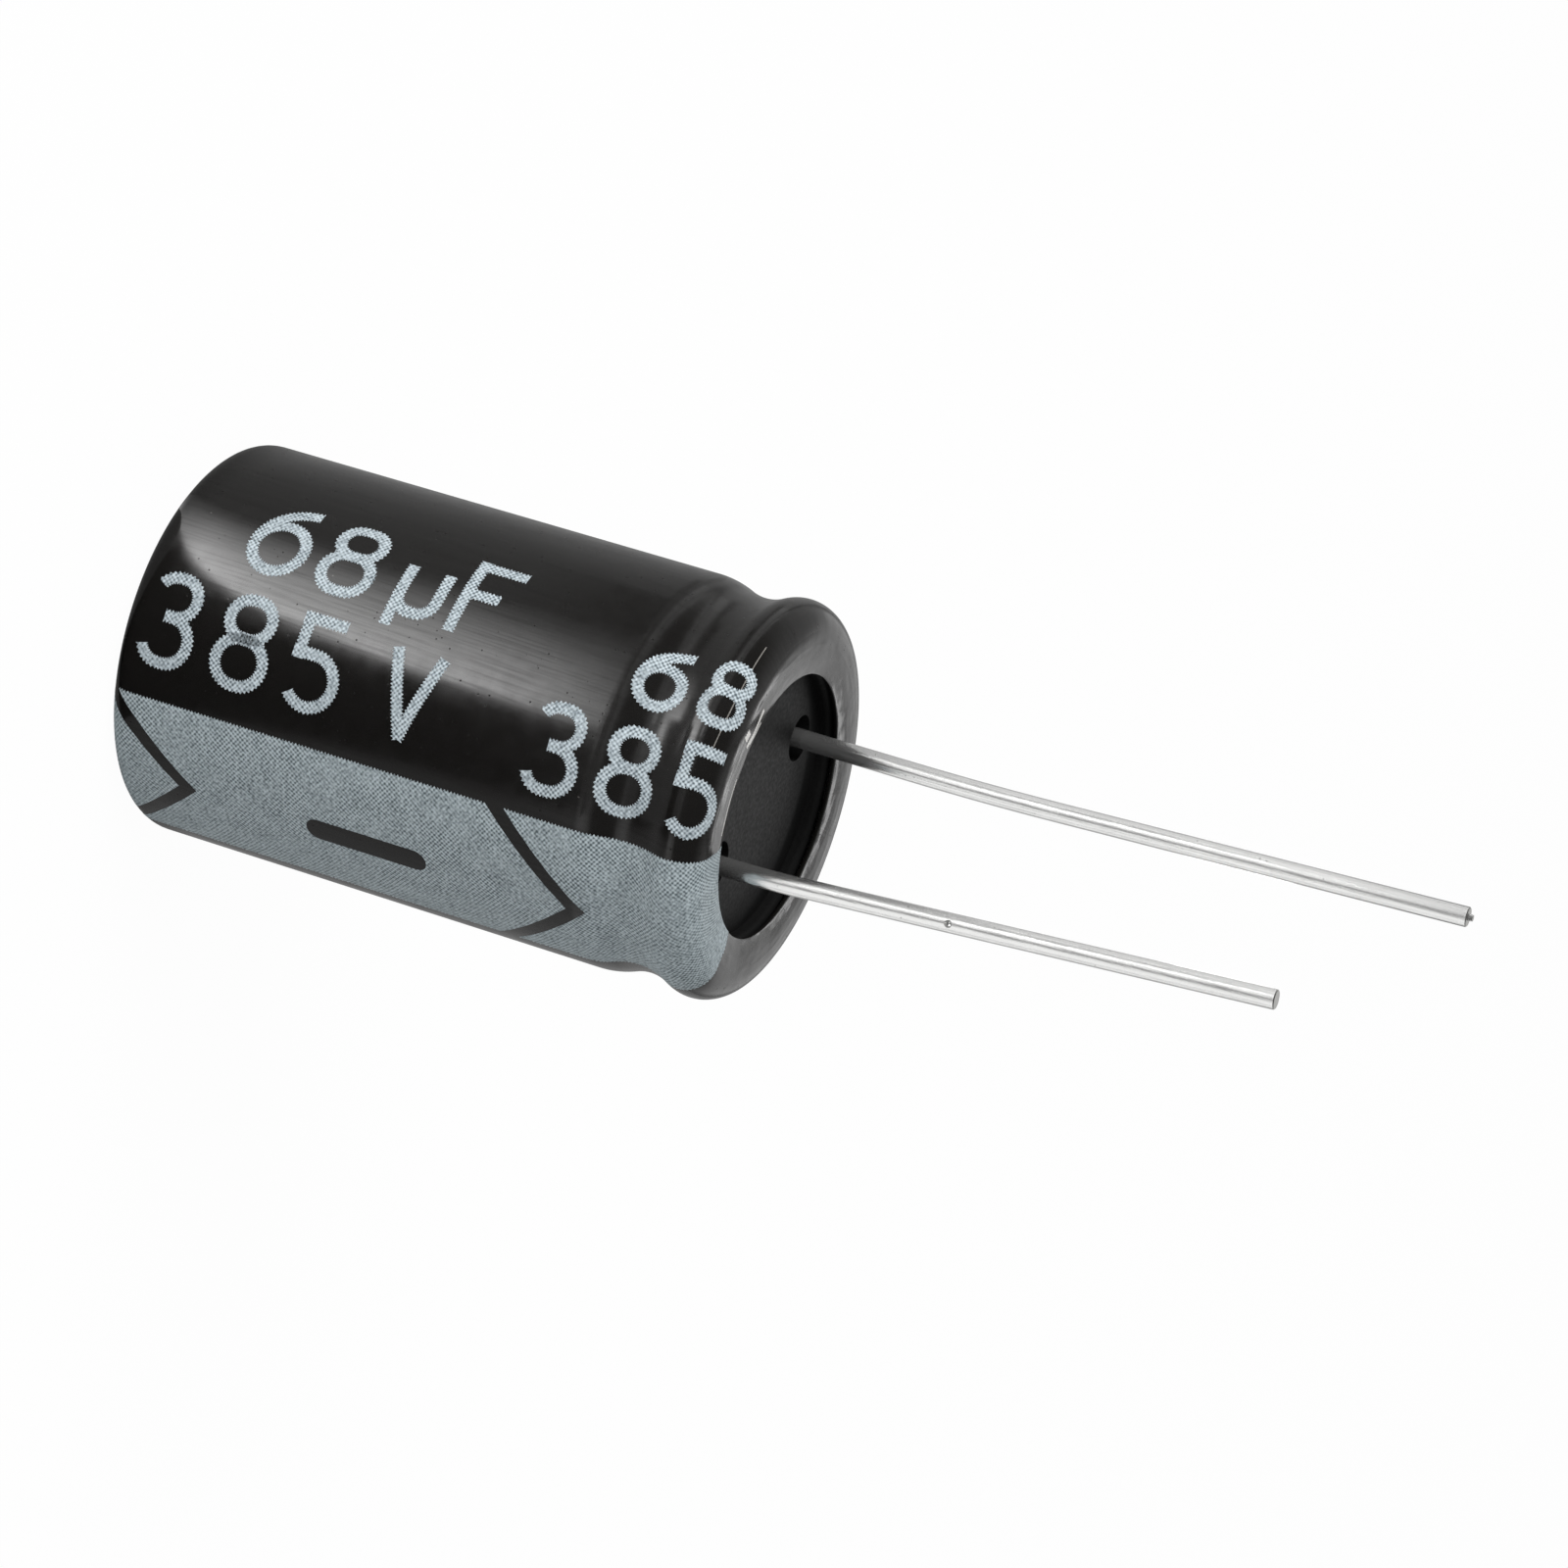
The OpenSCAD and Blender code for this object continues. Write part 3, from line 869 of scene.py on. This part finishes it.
# %% Tinned wire and bare aluminium
tin_light = (0.88, 0.88, 0.87)
tin_dark = (0.42, 0.42, 0.41)
tin_look, tree, shader = material("Bright tin", {"Metallic": 0.93})
in_mm = object_mm(tree)
die_lines = use(tree, streaks, {"Vector": add(tree, "VectorMath", {0: in_mm, 1: (1, 1, 0.03)},
                                              operation="MULTIPLY").outputs[0],
                                "Fine": 9.0, "Long": 9.0}).outputs[0]
spots = use(tree, specks, {"Vector": in_mm, "Per mm": 3.2, "Size": 0.14, "Share": 0.35}).outputs[0]
tree.links.new(tint(tree, sums(tree, "MULTIPLY", spots, 0.75), tin_light, tin_dark),
               shader.inputs["Base Color"])
tree.links.new(ramp(tree, die_lines, 0.35, 0.7, 0.12, 0.24), shader.inputs["Roughness"])
bump(tree, shader, [(die_lines, 0.02, 0.5), (spots, 0.004, 0.5)])
steel = {"Metallic": 1.0, "Roughness": 0.4, "Base Color": (0.6, 0.6, 0.58, 1)}
cut_look, _, _ = material("Cut steel", steel)
for wire in (anode, cathode):
    dress(wire, tin_look)
    wire.data.materials.append(cut_look)
    cut_height = max(vert.co.z for vert in wire.data.vertices) - 0.5 * MM
    for face in wire.data.polygons:
        if face.center.z > cut_height and face.normal.z > 0.6:
            face.material_index = 1

aluminium = {"Metallic": 1.0, "Base Color": (0.8, 0.81, 0.82, 1)}
can_look, tree, shader = material("Drawn aluminium", aluminium)
in_mm = object_mm(tree)
grain = use(tree, streaks, {"Vector": in_mm, "Fine": 6.0, "Long": 0.5}).outputs[0]
tree.links.new(ramp(tree, grain, 0.3, 0.7, 0.28, 0.45), shader.inputs["Roughness"])
bump(tree, shader, [(grain, 0.004, 0.5)])
for name in ("can", "anode_tab", "cathode_tab"):
    dress(nodes[name], can_look)

# %% [markdown]
# The bung is matt black rubber with a fine grain. The roll inside is wound in brown paper that is
# soaked with the electrolyte, and a yellow tape holds it. Nobody sees the roll in a whole capacitor,
# but a part that may be cut open for a drawing needs a finish on every piece.

# %% Rubber, paper and tape
rubber_look, tree, shader = material("Bung rubber", {"Specular IOR Level": 0.15})
in_mm = object_mm(tree)
skin = add(tree, "TexNoise", {"Vector": in_mm, "Scale": 7.0, "Detail": 6.0}).outputs["Fac"]
skin_tone = tint(tree, skin, (0.005, 0.005, 0.005), (0.011, 0.011, 0.011))
tree.links.new(skin_tone, shader.inputs["Base Color"])
tree.links.new(ramp(tree, skin, 0.3, 0.7, 0.5, 0.68), shader.inputs["Roughness"])
bump(tree, shader, [(skin, 0.01, 0.5)])
dress(nodes["bung"], rubber_look)

paper_look, tree, shader = material("Soaked paper", {"Roughness": 0.7})
in_mm = object_mm(tree)
fibre = add(tree, "TexNoise", {"Vector": in_mm, "Scale": 4.0, "Detail": 8.0}).outputs["Fac"]
tree.links.new(tint(tree, fibre, (0.5, 0.43, 0.31), (0.62, 0.56, 0.43)), shader.inputs["Base Color"])
bump(tree, shader, [(fibre, 0.02, 0.5)])
dress(nodes["winding"], paper_look)

tape_look, tree, shader = material("Winding tape", {"Specular IOR Level": 0.5})
in_mm = object_mm(tree)
cockle = add(tree, "TexNoise", {"Vector": in_mm, "Scale": 0.8, "Detail": 3.0}).outputs["Fac"]
tree.links.new(tint(tree, cockle, (0.62, 0.5, 0.2), (0.7, 0.58, 0.28)), shader.inputs["Base Color"])
tree.links.new(ramp(tree, cockle, 0.3, 0.7, 0.2, 0.35), shader.inputs["Roughness"])
dress(nodes["winding_tape"], tape_look)

# %% [markdown]
# The camera stands where the photograph was taken from. The part stands on its closed end, and the
# photograph shows it lying across the frame, so the camera is rolled about its own line of sight.

# %% Camera
camera_place = Vector((127.2, -151.0, 95.39)) * MM
camera_aim = Vector((-0.704, -0.599, 25.906)) * MM
camera_roll = math.radians(106.888)
camera_data = bpy.data.cameras.new("Camera")
camera_data.lens = 121.56
camera_data.sensor_width = 36
camera_data.clip_start = 0.01
camera = bpy.data.objects.new("Camera", camera_data)
bpy.context.scene.collection.objects.link(camera)
camera.location = camera_place
upright = (camera_aim - camera_place).to_track_quat("-Z", "Y")
camera.rotation_mode = "QUATERNION"
camera.rotation_quaternion = upright @ Quaternion((0, 0, 1), camera_roll)
bpy.context.scene.camera = camera
print(f"camera {(camera_place - camera_aim).length / MM:.0f} mm from the part")

# %% [markdown]
# The floor is pale. To the camera it shows as plain white, and it keeps a faint soft shadow. In
# reflections it is grey close by, where the part shades it, and white further out, with a grey ring
# far off. The room is grey on the camera's side and white behind the part. One large soft lamp stands
# over the part on the side of the figures.

# %% Directions as the camera sees them
view_turn = math.radians(-49.9)


def from_camera(ahead, beside, height):
    """Place from millimetres towards the camera, to its right and up from the floor."""
    toward = Vector((math.cos(view_turn), math.sin(view_turn), 0))
    right = Vector((-toward.y, toward.x, 0))
    return (toward * ahead + right * beside + Vector((0, 0, height))) * MM


def at_turn(turn_deg, distance, height):
    """Place at this turn from the camera's side and distance from the part's axis."""
    turn = math.radians(turn_deg)
    return from_camera(distance * math.cos(turn), distance * math.sin(turn), height)


# %% Floor and world
scene = bpy.context.scene
scene.view_settings.view_transform = "Standard"
room_grey = 0.2
floor_share = 0.97


def shown(tree, plain, mirrored):
    """Radiance for the camera and glass, or for reflections, and nothing for diffuse light."""
    rays = add(tree, "LightPath")
    seen = sums(tree, "MAXIMUM", rays.outputs["Is Camera Ray"], rays.outputs["Is Transmission Ray"])
    by_glossy = sums(tree, "MULTIPLY", rays.outputs["Is Glossy Ray"], mirrored)
    either = sums(tree, "MAXIMUM", seen, rays.outputs["Is Glossy Ray"])
    return sums(tree, "MULTIPLY_ADD", seen, plain, by_glossy), either


bpy.ops.object.select_all(action="DESELECT")
bpy.ops.mesh.primitive_plane_add(size=6, location=(0, 0, -0.00005))
floor = bpy.context.active_object
floor.name = "studio_floor"
bpy.ops.object.transform_apply(location=True)
floor_look = bpy.data.materials.new("Pale floor")
floor_look.use_nodes = True
tree = floor_look.node_tree
tree.nodes.clear()
on_plane = add(tree, "TexCoord").outputs["Object"]
far = add(tree, "VectorMath", {0: on_plane}, operation="LENGTH").outputs["Value"]


def share_toward(way):
    """How much a place on the floor lies in this direction, from -1 to 1."""
    along = add(tree, "VectorMath", {0: on_plane, 1: way}, operation="DOT_PRODUCT").outputs["Value"]
    return sums(tree, "DIVIDE", along, far)


behind = ramp(tree, share_toward(from_camera(1000, 0, 0)), -0.6, -0.35, 0.4, 1.0)
right_side = ramp(tree, share_toward(from_camera(0, 1000, 0)), 0.5, 0.75, room_grey, 1.0)
ring_start = ramp(tree, far, 0.2, 0.26, 1.0, room_grey)
ring_end = ramp(tree, far, 0.34, 0.45)
far_off = sums(tree, "MAXIMUM", right_side, sums(tree, "MAXIMUM", ring_start, ring_end))
outer = sums(tree, "MULTIPLY", behind, far_off)
# Painted shade: in reflections the floor is grey close round the part, as if the part shaded it.
inner = ramp(tree, far, 0.008, 0.011, 0.16, 0.34)
mirrored = add(tree, "Mix", {0: ramp(tree, far, 0.066, 0.08), 2: inner, 3: outer}).outputs[0]
radiance, either = shown(tree, 1.0, mirrored)
matt = add(tree, "BsdfDiffuse", {"Color": (0.86, 0.86, 0.86, 1)})
glow = add(tree, "Emission", {"Color": (1, 1, 1, 1), "Strength": radiance})
mixed = add(tree, "MixShader", {0: sums(tree, "MULTIPLY", either, floor_share),
                                1: matt.outputs[0], 2: glow.outputs[0]})
add(tree, "OutputMaterial", {"Surface": mixed.outputs[0]})
floor.data.materials.append(floor_look)

world = bpy.data.worlds.new("Studio")
scene.world = world
world.use_nodes = True
tree = world.node_tree
backdrop = tree.nodes["Background"]
backdrop.inputs["Color"].default_value = (1, 1, 1, 1)
toward = add(tree, "VectorMath", {0: add(tree, "TexCoord").outputs["Generated"],
                                  1: from_camera(1000, 0, 0)}, operation="DOT_PRODUCT")
room = sums(tree, "MULTIPLY", ramp(tree, toward.outputs["Value"], -0.92, -0.84, 0.85, 0.42),
            ramp(tree, toward.outputs["Value"], -0.5, 0.0, 1.0, room_grey))
radiance, either = shown(tree, 1.0, room)
soft_light = sums(tree, "MULTIPLY", sums(tree, "SUBTRACT", 1.0, either), 0.5)
tree.links.new(sums(tree, "ADD", radiance, soft_light), backdrop.inputs["Strength"])

# %% Lamp
lamp_data = bpy.data.lights.new("Soft lamp", "AREA")
lamp_data.shape = "DISK"
lamp_data.size = 0.35
lamp_data.energy = 2.6
lamp = bpy.data.objects.new("Soft lamp", lamp_data)
scene.collection.objects.link(lamp)
lamp.location = at_turn(-50, 480, 270)
lamp.rotation_euler = (Vector((0, 0, 0.015)) - lamp.location).to_track_quat("-Z", "Y").to_euler()
lamp.visible_glossy = False

# %% [markdown]
# A glossy black body shows little but its reflections. From this camera its sides mirror the floor, so
# a black card lies in front of the part, and beside it a wedge of light whose sharp edge draws the line
# of the highlight. Two small shades by the bead end the highlight in its hollow, and a dark strip keeps
# the shoulder from catching the floor. Strips further out draw the dark and bright lines along the
# leads, and a small card behind the rim lights the fold on its far side.


# %% Reflection cards
def card(name, corners, radiance):
    """Flat card through these places, seen by reflections only. Its origin is at the first place."""
    bpy.ops.mesh.primitive_plane_add(size=1, location=corners[0])
    flat = bpy.context.active_object
    flat.name = name
    mesh = bmesh.new()
    mesh.faces.new([mesh.verts.new(place - corners[0]) for place in corners])
    mesh.to_mesh(flat.data)
    mesh.free()
    for way in ("camera", "diffuse", "transmission", "shadow", "volume_scatter"):
        setattr(flat, "visible_" + way, False)
    made = bpy.data.materials.new(name)
    made.use_nodes = True
    card_tree = made.node_tree
    card_tree.nodes.clear()
    shine = add(card_tree, "Emission", {"Color": (1, 1, 1, 1), "Strength": radiance})
    add(card_tree, "OutputMaterial", {"Surface": shine.outputs[0]})
    dress(flat, made)
    return card_tree, shine


def on_floor(lift, places):
    """Places on the floor from pairs of millimetres towards the camera and to its right."""
    return [from_camera(ahead, beside, lift) for ahead, beside in places]


def sector(lift, first, last, near, far):
    """Part of a flat ring at this height, between two turns and two distances."""
    turns = [first + (last - first) * i / 8 for i in range(9)]
    inner_edge = [at_turn(turn, near, lift) for turn in turns]
    outer_edge = [at_turn(turn, far, lift) for turn in reversed(turns)]
    return inner_edge + outer_edge


card("black_card", on_floor(0.2, [(9, -4.5), (62, -9.7), (68, -9), (60, 42), (7, 5)]), 0.0)

# Each ring card by its name: lift, first and last turn, near and far distance, radiance
ring_cards = {
    "bead_shade": (20.9, -95, -20, 8.8, 9.9, 0.3),
    "bead_end": (20.9, -20, 20, 8.8, 11.2, 0.3),
    "side_strip": (0.15, -100, -50, 50, 68, 0.1),
    "dark_strip": (0.2, 2, 28, 74, 250, 0.3),
    "right_strip": (0.2, 82, 98, 74, 290, 0.65),
    "left_strip": (0.2, -125, -76, 90, 240, 0.68),
    "shoulder_strip": (0.15, -130, -66, 64, 90, 0.2),
    "bright_strip": (0.4, -32, -24, 100, 150, 4.0),
}
for name, (*ring, radiance) in ring_cards.items():
    card(name, sector(*ring), radiance)
print(len(ring_cards), "ring cards stand round the part")

rim_corners = ((3, 37), (-6.5, 37), (-6.5, 42), (3, 42))
card("rim_card", [from_camera(-20, side, high) for side, high in rim_corners], 4.2)

apex = (5.8, -4.3)
wedge = on_floor(0.3, [apex, (62, -11), (75, -18.5), (150, -37), (132, -86), (62, -143)])
tree, shine = card("light_wedge", wedge, 1.0)
place = add(tree, "TexCoord").outputs["Object"]
flat_place = add(tree, "SeparateXYZ", {0: place})
turn = sums(tree, "ARCTAN2", flat_place.outputs[1], flat_place.outputs[0])
reach_out = add(tree, "VectorMath", {0: place}, operation="LENGTH").outputs["Value"]
near_glow = sums(tree, "MULTIPLY", ramp(tree, reach_out, 0.0, 0.05, 12.0, 8.2),
                 ramp(tree, reach_out, 0.001, 0.005, 0.05, 1.0))
full_glow = sums(tree, "MULTIPLY", near_glow, ramp(tree, reach_out, 0.044, 0.057, 1.0, 0.11))
wedge_from, wedge_to = view_turn - math.radians(68), view_turn - math.radians(5.6)
across_wedge = sums(tree, "POWER", ramp(tree, turn, wedge_from, wedge_to), 1.25)
glow = sums(tree, "MULTIPLY_ADD", across_wedge, full_glow, 0.3)
tree.links.new(glow, shine.inputs["Strength"])
